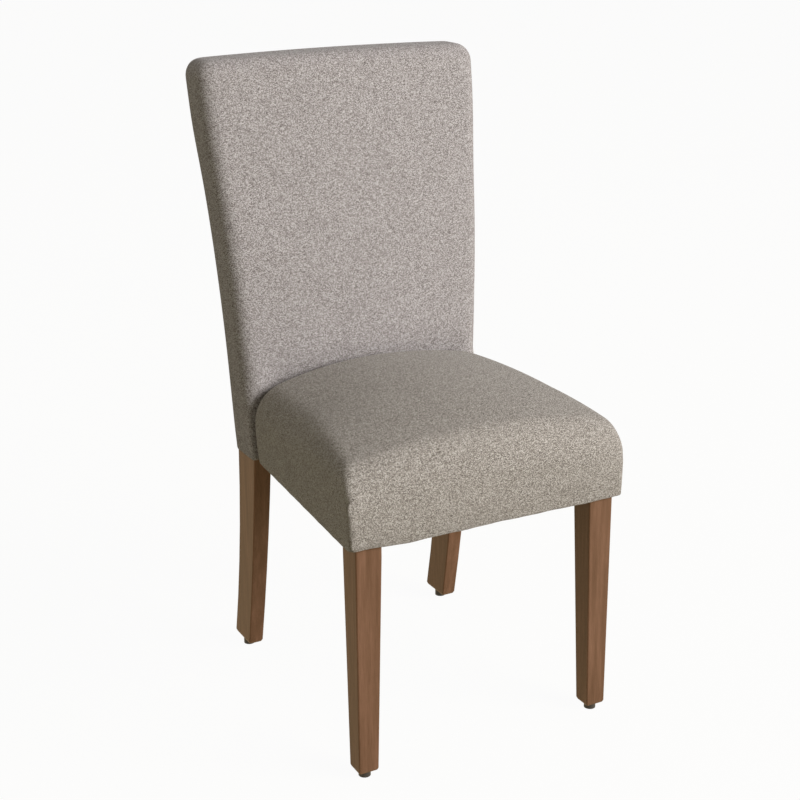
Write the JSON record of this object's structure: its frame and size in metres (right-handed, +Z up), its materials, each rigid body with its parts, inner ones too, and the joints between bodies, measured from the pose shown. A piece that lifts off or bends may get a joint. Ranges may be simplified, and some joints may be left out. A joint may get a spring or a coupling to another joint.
{
  "type": "parsons chair",
  "caption": "Fully upholstered dining chair with a crowned waterfall seat, a tall raked back that flares to the top, tapered front legs and sabre rear legs.",
  "frame": {"origin": "floor level, in the middle of the chair's width and depth", "axes": "+Z up, +X to the right seen from the front, +Y from the front to the back"},
  "size_m": [0.4968, 0.5512, 1.031],
  "materials": {
    "dust_cloth": "thin non-woven cloth",
    "foam": "open-cell foam",
    "frame_wood": "planed, unfinished",
    "glide": "matt",
    "leg_wood": "satin walnut stain",
    "steel": "zinc plated",
    "upholstery": "matt heathered weave",
    "wadding": "loose fibre",
    "webbing": "plain weave"
  },
  "bodies": {
    "root": {"back_cover": "upholstery", "back_foam": "foam", "back_lower_rail": "frame_wood", "back_seat_rail": "frame_wood", "back_strap_1": "webbing", "back_strap_2": "webbing", "back_strap_3": "webbing", "back_strap_4": "webbing", "back_top_rail": "frame_wood", "dust_cover": "dust_cloth", "front_corner_block_left": "frame_wood", "front_corner_block_right": "frame_wood", "front_glide_left": "glide", "front_glide_right": "glide", "front_leg_bolt_left": "steel", "front_leg_bolt_right": "steel", "front_leg_left": "leg_wood", "front_leg_nut_left": "steel", "front_leg_nut_right": "steel", "front_leg_right": "leg_wood", "outside_back": "upholstery", "rear_corner_block_left": "frame_wood", "rear_corner_block_right": "frame_wood", "rear_glide_left": "glide", "rear_glide_right": "glide", "rear_leg_left": "leg_wood", "rear_leg_right": "leg_wood", "seat_bolt_left_lower": "steel", "seat_bolt_left_upper": "steel", "seat_bolt_right_lower": "steel", "seat_bolt_right_upper": "steel", "seat_cover": "upholstery", "seat_cross_strap_1": "webbing", "seat_cross_strap_2": "webbing", "seat_cross_strap_3": "webbing", "seat_foam": "foam", "seat_front_rail": "frame_wood", "seat_long_strap_1": "webbing", "seat_long_strap_2": "webbing", "seat_long_strap_3": "webbing", "seat_long_strap_4": "webbing", "seat_nut_left_lower": "steel", "seat_nut_left_upper": "steel", "seat_nut_right_lower": "steel", "seat_nut_right_upper": "steel", "seat_rear_rail": "frame_wood", "seat_side_rail_left": "frame_wood", "seat_side_rail_right": "frame_wood", "seat_wadding": "wadding"}
  },
  "joints": []
}
